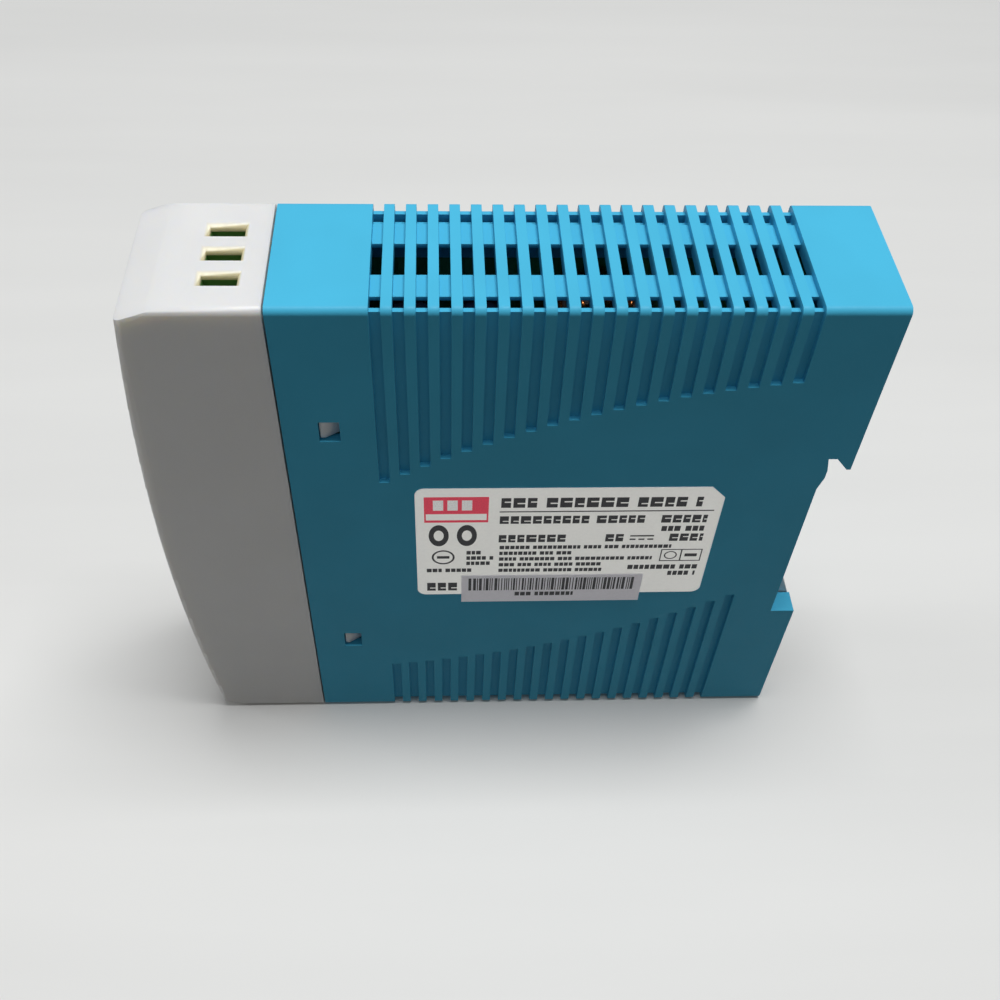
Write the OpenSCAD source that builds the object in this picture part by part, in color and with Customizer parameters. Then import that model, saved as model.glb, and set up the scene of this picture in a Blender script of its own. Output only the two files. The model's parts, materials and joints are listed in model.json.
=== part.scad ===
// Slim DIN rail power supply. Millimetres, X across the width, Y from front to rear, Z up.
// The origin is at the middle of the underside.

/* [Outside] */
// Width across the two flat sides
body_w = 22.5; // [22.5:0.5:26]
// Depth from the front of the cover to the rear of the case
body_d = 100; // [98:1:104]
// Height from the underside to the vented top
body_h = 90; // [88:1:94]
// Depth of the terminal cover, front to seam
cover_d = 20.6; // [20:0.1:22]
// Rounding of the long edges
edge_r = 1; // [0.5:0.1:1.5]
// Thickness of the moulded side walls
wall = 1.6; // [1.4:0.1:1.8]
// Thickness of the vented top and underside
vent_wall = 2.2; // [2:0.1:2.6]

/* [Front cover] */
// Radius of the bowed front
front_r = 363; // [250:1:600]
// Depth over which the top and bottom front edges slope away
slope_len = 8; // [6:0.5:9]
// Drop of that slope for each millimetre of its depth
slope_rate = 0.327; // [0.2:0.01:0.4]
// Radius of the bend between the sloped and the flat part of the top
bend_r = 15; // [8:1:25]
// Distance from one terminal pole to the next
pole_pitch = 5; // [5:0.1:5.1]
// Width of a wire window across the poles
window_w = 2.1; // [2:0.1:3.2]
// Length of a wire window from front to rear
window_l = 4.6; // [4:0.1:5]
// Lead-in bevel round a wire window
window_bevel = 0.6; // [0.4:0.05:0.8]
// Depth of the wire windows' centres behind the front
wire_depth = 14.75; // [14.5:0.05:15]
// Height of the status lamp
lamp_z = 68; // [60:1:70]
// Height of the voltage adjuster
adjuster_z = 58; // [50:1:59]

/* [Vents] */
// Number of vent slots along the top and along the underside
slot_n = 20; // [10:1:20]
// Distance from one slot to the next
slot_pitch = 2.867; // [2.6:0.01:2.87]
// Width of a slot
slot_w = 1.47; // [1.2:0.01:1.6]
// Depth of the first slot's centre behind the seam
first_slot = 13.4; // [12:0.1:14]
// Depth of the slots in the top and underside
slot_depth = 0.95; // [0.6:0.05:1.2]
// Depth of the grooves that carry the slots down the sides
groove_depth = 0.85; // [0.5:0.05:1]
// Radius of the arcs on which the side grooves end
groove_arc_r = 135; // [130:1:140]

/* [Rail mount] */
// Height of the rail slot, from the lower lips to the roof under the hook
rail_slot_h = 36.2; // [36:0.1:37]
// Height of the two lower lips
lip_z = 27.4; // [26:0.1:28]
// Depth of the rail recess, from the rear plane to its floor
recess_d = 3.85; // [3.5:0.05:4]
// Width of the channel that the latch runs in
channel_w = 14.8; // [14:0.1:15]
// Downward travel of the latch
latch_travel = 3.5; // [3:0.1:3.5]

/* [Terminals] */
// Radius of a clamp screw's thread
screw_r = 1.25; // [1.2:0.05:1.3]
// Travel of a clamp cage
clamp_travel = 2.2; // [1.8:0.1:2.2]
// Width of a wire entry in the terminal blocks
entry_w = 3.15; // [2.4:0.05:3.2]
// Length of a wire entry in the terminal blocks
entry_l = 4.6; // [4:0.1:5]

/* [Labels] */
// Rear-to-front start of the rating label
label_front = -11.9; // [-14:0.1:-10]
// Length of the rating label
label_l = 45; // [30:0.5:45]
// Height of the rating label's lower edge
label_low = 33.1; // [33:0.1:36]
// Height of the rating label
label_h = 25; // [15:0.5:25]
// Length of the serial label
serial_l = 28.5; // [20:0.5:30]
// Height of the serial label
serial_h = 6.8; // [5:0.1:8]

/* [Hidden] */

$fn = 64;
half_w = body_w / 2;
half_d = body_d / 2;
front_y = -half_d;
seam_y = front_y + cover_d;
seam_gap = 0.25;
past = 1;
inner_x = half_w - wall;

// Rail mount
recess_y = half_d - recess_d;
slot_roof = lip_z + rail_slot_h;
pad_y = recess_y + 0.6;
pad_z = [slot_roof - 6.25, slot_roof - 3.9];
roof_y = [pad_y - 0.45, pad_y + 0.8];
hook_tip_z = slot_roof - 2.16;
hook_tip_y = half_d - 0.6;
back_wall_y = recess_y - 1.8;
lip_x = channel_w / 2;
tongue_x = lip_x + 1.5;
tongue_y = recess_y + 1.45;
tongue_t = 1.2;
lug_z = 7.4;
lug_top = 9.4;
lug_x = 1.7;
peg_r = 0.85;
latch_gap = 0.2;
latch_x = lip_x - latch_gap;
latch_y = [recess_y + 0.25, half_d - 0.2];
latch_bottom = 0.5;
latch_top = lip_z + 0.8;
tooth_y = latch_y[0] + 1.5;
tooth_top = lip_z + 3.7;
spring_window_x = 2.4;
spring_solid = 9.1;
spring_window_z = [lug_z - 0.2, lug_top + latch_travel + spring_solid];
spring_r = 1.35;
spring_wire_r = 0.22;
spring_turns = 8;
spring_y = recess_y + 1.75;

// Snap joints between cover and case
snap_z = [20.6, body_h - 20.6];
snap_window_y = [-24.4, -21.55];
snap_window_h = 3.6;
arm_x = [half_w - 2.9, inner_x - 0.2];
skirt_gap = 0.15;
skirt_t = 1;

// Vents: lengthwise bars stand under the slots between |X| bar_x[0] and bar_x[1]
bar_x = [3.2, 7.5];
bar_t = 0.6;
top_arc = [54, -56.1];
low_arc = [-32, 147.1];

// Terminals, laid out for the top of the supply; the bottom ones are their mirror image
wire_y = front_y + wire_depth;
pole_x = [for (i = [1, 0, -1]) i * pole_pitch];
block_x = 7.9;
block_y = [front_y + 6.1, front_y + 18.4];
block_z = [body_h - 15.6, body_h - 2.6];
boss_x = 7.7;
boss_y = [wire_y - 3, wire_y + 3];
boss_top = body_h - 1.3;
screw_z = body_h - 7.4;
chamber_x = 2.1;
chamber_y = [block_y[0] + 1.85, block_y[1] - 1];
chamber_z = screw_z + 2.3;
bar_y = [wire_y - 2.05, wire_y - 1.25];
cage_y = [chamber_y[0] + 0.25 + clamp_travel, wire_y + 2.25];
cage_x = 1.9;
cage_h = 4.2;
head_r = 1.6;
access_r = 2.1;

// Labels
label_y = [label_front, label_front + label_l];
label_z = [label_low, label_low + label_h];
label_r = 1.4;
label_cut = 2.3;
label_t = 0.1;
serial_y = [label_front + 6.9, label_front + 6.9 + serial_l];
serial_z = [label_low - 2, label_low - 2 + serial_h];

// Boards
board_y = [block_y[1], block_y[1] + 1.2];
link_z = [34, 54];
board_x = -6.6;
board_t = 1.6;
main_y = [-28.4, 43.6];
main_z = [4, 86];
tf_y = 23.5;
tf_z = 49.5;

// ---------- shapes that repeat ----------

// A block given by its lowest and highest X, Y and Z
module span(x, y, z)
    translate([x[0], y[0], z[0]]) cube([x[1] - x[0], y[1] - y[0], z[1] - z[0]]);

// A side view (Y, Z) given its width from x[0] to x[1]
module across(x)
    translate([x[0], 0, 0]) rotate([90, 0, 90]) linear_extrude(x[1] - x[0]) children();

// A front view (X, Z) given its depth from y[0] to y[1]
module along(y)
    translate([0, y[1], 0]) rotate([90, 0, 0]) linear_extrude(y[1] - y[0]) children();

// Round bars along the three axes
module rod_x(x, y, z, r) translate([x[0], y, z]) rotate([0, 90, 0]) cylinder(h = x[1] - x[0], r = r);
module rod_y(x, y, z, r) translate([x, y[1], z]) rotate([90, 0, 0]) cylinder(h = y[1] - y[0], r = r);
module rod_z(x, y, z, r) translate([x, y, z[0]]) cylinder(h = z[1] - z[0], r = r);

// A rectangle with rounded corners, from its lowest corner
module round_rect(size, r) {
    translate([r, 0]) square([size[0] - 2 * r, size[1]]);
    translate([0, r]) square([size[0], size[1] - 2 * r]);
    for (x = [r, size[0] - r], y = [r, size[1] - r]) translate([x, y]) circle(r);
}

// The cross-section of the body, seen from the front
module body_section() translate([-half_w, 0]) round_rect([body_w, body_h], edge_r);

// The same thing twice, on the left and on the right
module both_sides() {
    children();
    mirror([1, 0, 0]) children();
}

// Turned over for the bottom terminals
module at_bottom() translate([0, 0, body_h]) mirror([0, 0, 1]) children();

// Standing on the main board at depth y and height z: local Z points away from the board
module on_board(y, z) translate([board_x, y, z]) rotate([0, 90, 0]) children();

// ---------- case ----------

module case_profile()
    polygon([
        [seam_y + seam_gap / 2, 0], [half_d, 0], [half_d, lip_z], [recess_y, lip_z],
        [recess_y, pad_z[0]], [pad_y, pad_z[1]], [pad_y, hook_tip_z - 0.2],
        [roof_y[0], slot_roof], [roof_y[1], slot_roof], [hook_tip_y, hook_tip_z], [half_d, hook_tip_z],
        [half_d, body_h], [seam_y + seam_gap / 2, body_h]]);

// Height on the side at which the top grooves and the bottom grooves end
function top_end(y) = top_arc[1] + sqrt(pow(groove_arc_r, 2) - pow(y - top_arc[0], 2));
function low_end(y) = low_arc[1] - sqrt(pow(groove_arc_r, 2) - pow(y - low_arc[0], 2));

// One slot, seen from the front: it runs over the top and down both sides, with three openings
module slot_section(end_z) {
    difference() {
        translate([-half_w - past, end_z]) square([body_w + 2 * past, body_h - end_z + past]);
        translate([-half_w + groove_depth, end_z - past])
            square([body_w - 2 * groove_depth, body_h - slot_depth - end_z + past]);
    }
    for (x = [-inner_x, -bar_x[0], bar_x[1]])
        translate([x, body_h - vent_wall - past])
            square([x == -bar_x[0] ? 2 * bar_x[0] : inner_x - bar_x[1], vent_wall + past]);
    translate([-inner_x, body_h - vent_wall - past])
        square([2 * inner_x, vent_wall + past - slot_depth - bar_t]);
}

module vent_slots()
    for (i = [0 : slot_n - 1]) {
        y = seam_y + first_slot + i * slot_pitch;
        along([y - slot_w / 2, y + slot_w / 2]) slot_section(top_end(y));
        at_bottom() along([y - slot_w / 2, y + slot_w / 2]) slot_section(body_h - low_end(y));
    }

// Open channel for the latch, with blind side grooves for its tongues
module latch_channel() {
    span([-lip_x, lip_x], [recess_y, half_d + past], [-past, lip_z + past]);
    span([-tongue_x, tongue_x], [tongue_y, tongue_y + tongue_t], [-past, lip_z - 0.6]);
}

// Lug that stops the latch and carries its spring
module spring_lug() {
    span([-lug_x, lug_x], [recess_y - 0.5, half_d - 0.6], [lug_z, lug_top]);
    rod_z(0, spring_y, [lug_top, lug_top + 1.6], peg_r);
}

// Ribs that hold the main board's upper and lower edges
module card_guides()
    for (x = [board_x - board_t - 0.8, board_x + 0.1], z = [vent_wall - 0.5, main_z[1] - 1])
        span([x, x + 0.7], [-20, 40], [z, z + main_z[0] + 1.5 - vent_wall]);

module case() color([0.25, 0.68, 0.86]) {
    difference() {
        intersection() {
            across([-half_w, half_w]) case_profile();
            along([seam_y, half_d]) body_section();
        }
        span([-inner_x, inner_x], [seam_y - past, back_wall_y], [vent_wall, body_h - vent_wall]);
        span([-inner_x, inner_x], [back_wall_y - past, half_d - 1.8],
            [slot_roof + 2.6, body_h - vent_wall]);
        vent_slots();
        latch_channel();
        for (z = snap_z)
            span([-half_w - past, half_w + past], snap_window_y,
                [z - snap_window_h / 2, z + snap_window_h / 2]);
    }
    spring_lug();
    card_guides();
}

// ---------- terminal cover ----------

// What the lower front slope takes off a side view that is set back by t from the outer faces
module front_slope(t) {
    tilt = atan(slope_rate);
    r = bend_r - t;
    bend = [front_y + slope_len + bend_r * tan(tilt / 2), bend_r];
    end = bend - r * [sin(tilt), cos(tilt)];
    difference() {
        polygon([
            bend, end, [front_y - past, end[1] + slope_rate * (end[0] - front_y + past)],
            [front_y - past, -past], [bend[0], -past]]);
        translate(bend) circle(r);
    }
}

// Side view of the cover, set back by t from its outer faces
module cover_profile(t)
    difference() {
        intersection() {
            translate([front_y + front_r, body_h / 2]) circle(front_r - t, $fn = 720);
            translate([front_y, t]) square([cover_d - seam_gap / 2, body_h - 2 * t]);
        }
        front_slope(t);
        translate([0, body_h]) mirror([0, 1]) front_slope(t);
    }

// The bowed front with rounded upright edges: a ring about the front's own axis
module bowed_front()
    translate([0, front_y + front_r, body_h / 2]) rotate([0, 90, 0])
        rotate_extrude($fn = 720)
            translate([front_r - 40, -half_w]) {
                square([40 - edge_r, body_w]);
                translate([0, edge_r]) square([40, body_w - 2 * edge_r]);
                for (y = [edge_r, body_w - edge_r]) translate([40 - edge_r, y]) circle(edge_r);
            }

// Bevelled window for one wire, in the top
module wire_window(x) {
    top = body_h + 0.1;
    grow = window_bevel + 0.1;
    span([x - window_w / 2, x + window_w / 2], [wire_y - window_l / 2, wire_y + window_l / 2],
        [body_h - 3, top]);
    intersection() {
        along([wire_y - window_l, wire_y + window_l])
            polygon([
                [x - window_w / 2, top - grow], [x + window_w / 2, top - grow],
                [x + window_w / 2 + grow, top], [x - window_w / 2 - grow, top]]);
        across([x - window_w, x + window_w])
            polygon([
                [wire_y - window_l / 2, top - grow], [wire_y + window_l / 2, top - grow],
                [wire_y + window_l / 2 + grow, top], [wire_y - window_l / 2 - grow, top]]);
    }
}

// Shallow pocket behind the wire windows, which takes the terminal block's boss
module boss_pocket()
    span([-boss_x - 0.2, boss_x + 0.2], [boss_y[0] - 0.2, boss_y[1] + 0.2],
        [body_h - wall - past, boss_top + 0.1]);

// Screwdriver hole with a shallow countersink
module driver_hole(x) {
    rod_y(x, [front_y - past, front_y + 6], screw_z, access_r);
    translate([x, front_y + 2.5, screw_z]) rotate([90, 0, 0])
        cylinder(h = 1.4, r1 = access_r, r2 = access_r + 1.4);
}

// Tongues that snap into the case's side windows
module snap_arm(z) {
    h = snap_window_h / 2 - 0.3;
    span(arm_x, [seam_y - 3.5, snap_window_y[1] + 0.6], [z - h, z + h]);
    span([arm_x[0], inner_x + 0.4], [seam_y - 3.5, seam_y - 1], [z - h, z + h]);
    translate([0, 0, z - h]) linear_extrude(2 * h)
        polygon([
            [arm_x[1] - 0.1, snap_window_y[0] + 0.15], [half_w - 0.5, snap_window_y[0] + 0.15],
            [half_w - 0.5, snap_window_y[0] + 0.8], [arm_x[1] - 0.1, snap_window_y[1] + 0.1]]);
}

// Rim that reaches inside the case and closes the seam
module skirt()
    difference() {
        union() {
            span([-inner_x - 0.2, inner_x + 0.2], [seam_y - 2.1, seam_y - 0.2],
                [wall - 0.2, body_h - wall + 0.2]);
            span([-inner_x + skirt_gap, inner_x - skirt_gap], [seam_y - 1, seam_y + 1.8],
                [vent_wall + skirt_gap, body_h - vent_wall - skirt_gap]);
        }
        span([-inner_x + skirt_gap + skirt_t, inner_x - skirt_gap - skirt_t],
            [seam_y - 3, seam_y + 3],
            [vent_wall + skirt_gap + skirt_t, body_h - vent_wall - skirt_gap - skirt_t]);
    }

module terminal_cover() color([0.86, 0.87, 0.88])
    difference() {
        union() {
            difference() {
                intersection() {
                    bowed_front();
                    across([-half_w, half_w]) cover_profile(0);
                    along([front_y - past, seam_y]) body_section();
                }
                across([-inner_x, inner_x]) cover_profile(wall);
                span([-inner_x, inner_x], [seam_y - 2, seam_y + past], [wall, body_h - wall]);
            }
            skirt();
            both_sides() for (z = snap_z) snap_arm(z);
            rod_y(0, [front_y + 1, front_y + 5], adjuster_z, access_r + 1);
            rod_y(0, [front_y + 1, front_y + 5], lamp_z, 2.5);
        }
        boss_pocket();
        at_bottom() boss_pocket();
        for (x = pole_x) {
            wire_window(x);
            driver_hole(x);
            at_bottom() {
                wire_window(x);
                driver_hole(x);
            }
        }
        rod_y(0, [front_y - past, front_y + 6], adjuster_z, access_r);
        rod_y(0, [front_y - past, front_y + 6], lamp_z, 1.5);
    }

// ---------- labels ----------

module rating_label() color([0.85, 0.85, 0.83])
    across([half_w, half_w + label_t])
        difference() {
            translate([label_y[0], label_z[0]])
                round_rect([label_y[1] - label_y[0], label_z[1] - label_z[0]], label_r);
            translate([label_y[1] - label_cut, label_z[1]])
                polygon([[0, 0.1], [label_cut + 0.1, 0.1], [label_cut + 0.1, -label_cut - 0.1]]);
            translate([serial_y[0], serial_z[0]])
                square([serial_y[1] - serial_y[0], serial_z[1] - serial_z[0]]);
        }

module serial_label() color([0.83, 0.83, 0.88])
    across([half_w, half_w + 1.6 * label_t])
        translate([serial_y[0], serial_z[0]])
            square([serial_y[1] - serial_y[0], serial_z[1] - serial_z[0]]);

// ---------- rail latch ----------

module rail_latch() color([0.78, 0.8, 0.8])
    difference() {
        union() {
            across([-latch_x, latch_x])
                polygon([
                    [latch_y[0], latch_bottom], [latch_y[1], latch_bottom], [latch_y[1], lip_z - 0.3],
                    [tooth_y + 0.3, tooth_top], [tooth_y, tooth_top],
                    [tooth_y, latch_top], [latch_y[0], latch_top]]);
            span([-tongue_x + latch_gap, tongue_x - latch_gap],
                [tongue_y + 0.15, tongue_y + tongue_t - 0.15], [1.5, 26.5]);
        }
        span([-spring_window_x, spring_window_x], [recess_y, half_d + past], spring_window_z);
        span([-3.2, 3.2], [recess_y + 1.2, recess_y + 2.8], [latch_bottom - past, 5.6]);
    }

// Points of a ring of the coil's wire at angle a
function coil_ring(a, rise, sides) = [for (k = [0 : sides - 1])
    let (t = 360 * k / sides, r = spring_r + spring_wire_r * cos(t))
        [r * cos(a), r * sin(a), rise + spring_wire_r * sin(t)]];

module latch_spring() color("silver")
    translate([0, spring_y, lug_top + spring_wire_r]) {
        sides = 6;
        steps = spring_turns * 14;
        length = spring_window_z[1] - lug_top - 2 * spring_wire_r;
        rings = [for (i = [0 : steps])
            coil_ring(360 * spring_turns * i / steps, length * i / steps, sides)];
        points = [for (ring = rings, p = ring) p];
        skin = [for (i = [0 : steps - 1], k = [0 : sides - 1])
            let (a = i * sides + k, b = i * sides + (k + 1) % sides)
                [a, a + sides, b + sides, b]];
        polyhedron(points, concat(skin, [[for (k = [0 : sides - 1]) k]],
            [[for (k = [sides - 1 : -1 : 0]) steps * sides + k]]), convexity = 10);
    }

// ---------- front face fittings ----------

module light_pipe() color([0.9, 0.95, 0.9]) {
    rod_y(0, [front_y + 0.2, front_y + 16.4], lamp_z, 1.4);
    rod_y(0, [front_y + 5.1, front_y + 6.1], lamp_z, 2.3);
}

module status_lamp() color([0.75, 0.9, 0.75]) {
    rod_y(0, [front_y + 16.5, board_y[0]], lamp_z, 1.45);
    rod_y(0, [front_y + 17.5, board_y[0]], lamp_z, 1.9);
}

module adjuster_spindle() color([0.95, 0.95, 0.92])
    difference() {
        union() {
            rod_y(0, [front_y + 0.35, front_y + 2.4], adjuster_z, access_r - 0.08);
            rod_y(0, [front_y + 2.3, front_y + 14.1], adjuster_z, 1.2);
        }
        span([-1.5, 1.5], [front_y, front_y + 1.4], [adjuster_z - 0.35, adjuster_z + 0.35]);
    }

module trimmer_rotor() color([0.95, 0.95, 0.92])
    rod_y(0, [front_y + 14.1, front_y + 15.6], adjuster_z, 2.1);

module trimmer_body() color([0.15, 0.3, 0.65])
    difference() {
        span([-3.3, 3.3], [front_y + 14.6, board_y[0]], [adjuster_z - 3.3, adjuster_z + 3.3]);
        rod_y(0, [front_y + 14, front_y + 15.7], adjuster_z, 2.18);
    }

module front_board() color([0.1, 0.45, 0.25])
    difference() {
        span([-8.2, 8.2], board_y, [4.5, body_h - 4.5]);
        for (x = pole_x) {
            rod_y(x, [board_y[0] - past, board_y[1] + past], block_z[0] + 2.4, 0.75);
            at_bottom() rod_y(x, [board_y[0] - past, board_y[1] + past], block_z[0] + 2.4, 0.75);
        }
        for (i = [0 : 6])
            rod_y(board_x + 1.9, [board_y[0] - past, board_y[1] + past], link_pin_z(i), 0.5);
    }

// ---------- terminals ----------

module terminal_block()
    difference() {
        union() {
            span([-block_x, block_x], block_y, block_z);
            span([-boss_x, boss_x], boss_y, [block_z[1] - past, boss_top]);
        }
        for (x = pole_x) {
            span([x - chamber_x, x + chamber_x], chamber_y, [block_z[0] - past, chamber_z]);
            rod_y(x, [block_y[0] - past, chamber_y[0] + past], screw_z, head_r + 0.1);
            span([x - entry_w / 2, x + entry_w / 2], [wire_y - entry_l / 2, wire_y + entry_l / 2],
                [chamber_z - past, body_h]);
            span([x - 0.7, x + 0.7], [block_y[1] - 2, block_y[1] + past],
                [block_z[0] - past, block_z[0] + 3]);
        }
    }

module output_terminal_block() color([0.28, 0.5, 0.22]) terminal_block();
module input_terminal_block() color([0.28, 0.5, 0.22]) at_bottom() terminal_block();

// Current bar that the wire is clamped to, with its foot and the pin through the front board
module contact(x) {
    foot_z = [block_z[0] + 2, block_z[0] + 2.8];
    span([x - screw_r, x + screw_r], bar_y, [foot_z[0], screw_z + 2]);
    span([x - screw_r, x + screw_r], [bar_y[0], chamber_y[1] - 0.1], foot_z);
    span([x - 0.5, x + 0.5], [bar_y[0], board_y[1] + 1.3], foot_z);
}

module output_contacts() color([0.8, 0.78, 0.7]) for (x = pole_x) contact(x);
module input_contacts() color([0.8, 0.78, 0.7]) at_bottom() for (x = pole_x) contact(x);

module clamp_screw(x)
    difference() {
        union() {
            rod_y(x, [block_y[0] + 0.3, chamber_y[0] - 0.05], screw_z, head_r);
            rod_y(x, [chamber_y[0] - 0.1, bar_y[0] - 0.1], screw_z, screw_r);
        }
        span([x - 2, x + 2], [block_y[0], block_y[0] + 1], [screw_z - 0.25, screw_z + 0.25]);
        span([x - 0.25, x + 0.25], [block_y[0], block_y[0] + 1], [screw_z - 1.1, screw_z + 1.1]);
    }

module output_screw_1() color("silver") clamp_screw(pole_x[0]);
module output_screw_2() color("silver") clamp_screw(pole_x[1]);
module output_screw_3() color("silver") clamp_screw(pole_x[2]);
module input_screw_1() color("silver") at_bottom() clamp_screw(pole_x[0]);
module input_screw_2() color("silver") at_bottom() clamp_screw(pole_x[1]);
module input_screw_3() color("silver") at_bottom() clamp_screw(pole_x[2]);

// Cage that pulls the wire against the current bar, shown open
module clamp_cage(x)
    difference() {
        span([x - cage_x, x + cage_x], cage_y, [screw_z - cage_h / 2, screw_z + cage_h / 2]);
        span([x - 1.35, x + 1.35], [cage_y[0] + 1.2, cage_y[1] - 1],
            [screw_z - cage_h, screw_z + cage_h]);
        rod_y(x, [cage_y[0] - past, cage_y[0] + 2], screw_z, screw_r + 0.05);
    }

module output_clamp_1() color([0.8, 0.75, 0.5]) clamp_cage(pole_x[0]);
module output_clamp_2() color([0.8, 0.75, 0.5]) clamp_cage(pole_x[1]);
module output_clamp_3() color([0.8, 0.75, 0.5]) clamp_cage(pole_x[2]);
module input_clamp_1() color([0.8, 0.75, 0.5]) at_bottom() clamp_cage(pole_x[0]);
module input_clamp_2() color([0.8, 0.75, 0.5]) at_bottom() clamp_cage(pole_x[1]);
module input_clamp_3() color([0.8, 0.75, 0.5]) at_bottom() clamp_cage(pole_x[2]);

// ---------- main board and what stands on it ----------

module main_board() color([0.1, 0.45, 0.25])
    span([board_x - board_t, board_x], main_y, main_z);

module insulating_sheet() color([0.92, 0.92, 0.85])
    span([-inner_x + 0.1, -inner_x + 0.35], [main_y[0] + 8, main_y[1]], [main_z[0] + 3, main_z[1] - 3]);

function link_pin_z(i) = link_z[0] + 2.38 + i * 2.54;

// Right-angle row of pins between the two boards
module board_link() color([0.15, 0.15, 0.16]) {
    span([board_x, board_x + 2.6], [board_y[1] + 0.1, board_y[1] + 4.6], link_z);
    for (i = [0 : 6])
        rod_y(board_x + 1.9, [board_y[0] - 0.8, board_y[1] + 1], link_pin_z(i), 0.32);
}

module fuse() color([0.9, 0.88, 0.8]) {
    rod_y(board_x + 2.8, [-24, -4], 8.5, 2.4);
    rod_y(board_x + 2.8, [-24.4, -18], 8.5, 2.6);
    rod_y(board_x + 2.8, [-10, -3.6], 8.5, 2.6);
}

// A disc component standing on its two leads
module disc_part(y, z, r, t) {
    rod_z(board_x + r + 1.2, y, [z, z + t], r);
    for (s = [-2, 2]) rod_x([board_x, board_x + r], y + s, z + t / 2, 0.35);
}

module inrush_limiter() color([0.12, 0.25, 0.15]) disc_part(-22, 14, 4.4, 3.4);
module surge_suppressor() color([0.15, 0.35, 0.75]) disc_part(-22, 20.5, 4.4, 3.6);
module safety_capacitor() color([0.2, 0.4, 0.8]) disc_part(-1.5, 43.5, 3.8, 3.2);

// A ring core lying on the board, and a winding wrapped round part of it
module ring_core(y, z, r, core)
    on_board(y, z) translate([0, 0, 0.9])
        rotate_extrude() translate([r, 0]) square(core);

module ring_winding(y, z, r, core, from, sweep)
    on_board(y, z) rotate([0, 0, from])
        rotate_extrude(angle = sweep)
            difference() {
                translate([r - 0.8, 0.1]) square([core[0] + 1.6, core[1] + 1.6]);
                translate([r, 0.9]) square(core);
            }

module line_choke_core() color([0.25, 0.3, 0.28]) ring_core(-5, 21, 4.2, [3.4, 6]);
module line_choke_windings() color([0.75, 0.42, 0.2]) {
    ring_winding(-5, 21, 4.2, [3.4, 6], 35, 110);
    ring_winding(-5, 21, 4.2, [3.4, 6], 215, 110);
}

module filter_capacitor() color([0.85, 0.75, 0.2])
    span([board_x, board_x + 11], [-20, -7], [32.2, 38]);

module bridge_rectifier() color([0.12, 0.12, 0.13])
    difference() {
        span([board_x + 2, board_x + 13], [-5, 10], [33, 36.4]);
        translate([board_x + 13, 10, 32]) rotate([0, 0, 45]) cube([3.4, 3.4, 6], center = false);
        rod_z(board_x + 8, 2.5, [32, 38], 1.6);
    }

module bulk_capacitor() color([0.12, 0.15, 0.2])
    difference() {
        rod_y(board_x + 7.4, [10, 42], 16, 7.2);
        difference() {
            rod_y(board_x + 7.4, [13, 14], 16, 8);
            rod_y(board_x + 7.4, [12, 15], 16, 6.8);
        }
    }

// A three-lead transistor package with its metal tab against a heat sink
module tab_package(y, z) {
    difference() {
        union() {
            span([board_x + 3.5, board_x + 9.7], [y - 5, y + 5], [z, z + 4.4]);
            span([board_x + 9.6, board_x + 15.2], [y - 5, y + 5], [z, z + 1.3]);
        }
        rod_z(board_x + 12.4, y, [z - past, z + 2], 1.8);
    }
    for (s = [-2.54, 0, 2.54])
        span([board_x, board_x + 3.6], [y + s - 0.4, y + s + 0.4], [z + 1.6, z + 2.2]);
}

// A standing aluminium plate with a folded foot
module heat_sink(y, z, hole_y)
    difference() {
        union() {
            span([board_x + 0.5, board_x + 15.6], y, [z - 1.8, z]);
            span([board_x + 13.8, board_x + 15.6], y, [z - 6, z]);
        }
        rod_z(board_x + 12.4, hole_y, [z - 3, z + past], 1.25);
    }

module power_transistor() color([0.12, 0.12, 0.13]) tab_package(34, 31.2);
module primary_heat_sink() color([0.7, 0.72, 0.74]) heat_sink([24, 43], 31.2, 34);
module output_rectifier() color([0.12, 0.12, 0.13]) tab_package(34, 69.2);
module secondary_heat_sink() color([0.7, 0.72, 0.74]) heat_sink([24, 43], 69.2, 34);

module heat_sink_screws() color("silver")
    for (z = [31.2, 69.2]) {
        rod_z(board_x + 12.4, 34, [z - 3, z + 1.3], 1.2);
        rod_z(board_x + 12.4, 34, [z + 1.3, z + 3], 2.6);
    }

// Transformer: E core round a bobbin with flanges, its axis along Y
module transformer_core() color([0.22, 0.22, 0.24])
    difference() {
        span([board_x + 2, board_x + 14.4], [tf_y - 12, tf_y + 12], [tf_z - 12.5, tf_z + 12.5]);
        for (s = [-1, 1])
            translate([board_x + 1, tf_y - 8.8, tf_z + s * 6.45 - 2.85]) cube([15, 17.6, 5.7]);
    }

module transformer_bobbin() color([0.85, 0.8, 0.7])
    difference() {
        union() {
            for (y = [tf_y - 8.6, tf_y + 7.4])
                span([board_x, board_x + 15.2], [y, y + 1.2], [tf_z - 8.9, tf_z + 8.9]);
            span([board_x + 0.9, board_x + 15.2], [tf_y - 8, tf_y + 8], [tf_z - 4.4, tf_z + 4.4]);
        }
        span([board_x + 1.9, board_x + 14.5], [tf_y - 9, tf_y + 9], [tf_z - 3.6, tf_z + 3.6]);
        for (s = [-1, 1])
            translate([board_x - 1, tf_y - 12, tf_z + s * 11.3 - 2.1]) cube([18, 24, 4.2]);
    }

module transformer_winding() color([0.9, 0.75, 0.25])
    difference() {
        span([board_x + 0.2, board_x + 15.5], [tf_y - 7.3, tf_y + 7.3], [tf_z - 8.6, tf_z + 8.6]);
        span([board_x + 0.85, board_x + 15.25], [tf_y - 8, tf_y + 8], [tf_z - 4.45, tf_z + 4.45]);
    }

module optocoupler() color([0.93, 0.93, 0.9])
    span([board_x + 0.5, board_x + 4], [-12.4, -5.8], [48, 52.6]);

module control_chip() color([0.1, 0.1, 0.11])
    difference() {
        span([board_x + 0.1, board_x + 1.7], [-20.5, -15.5], [45, 49]);
        rod_x([board_x + 1.5, board_x + 2], -20, 48.4, 0.3);
    }

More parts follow.
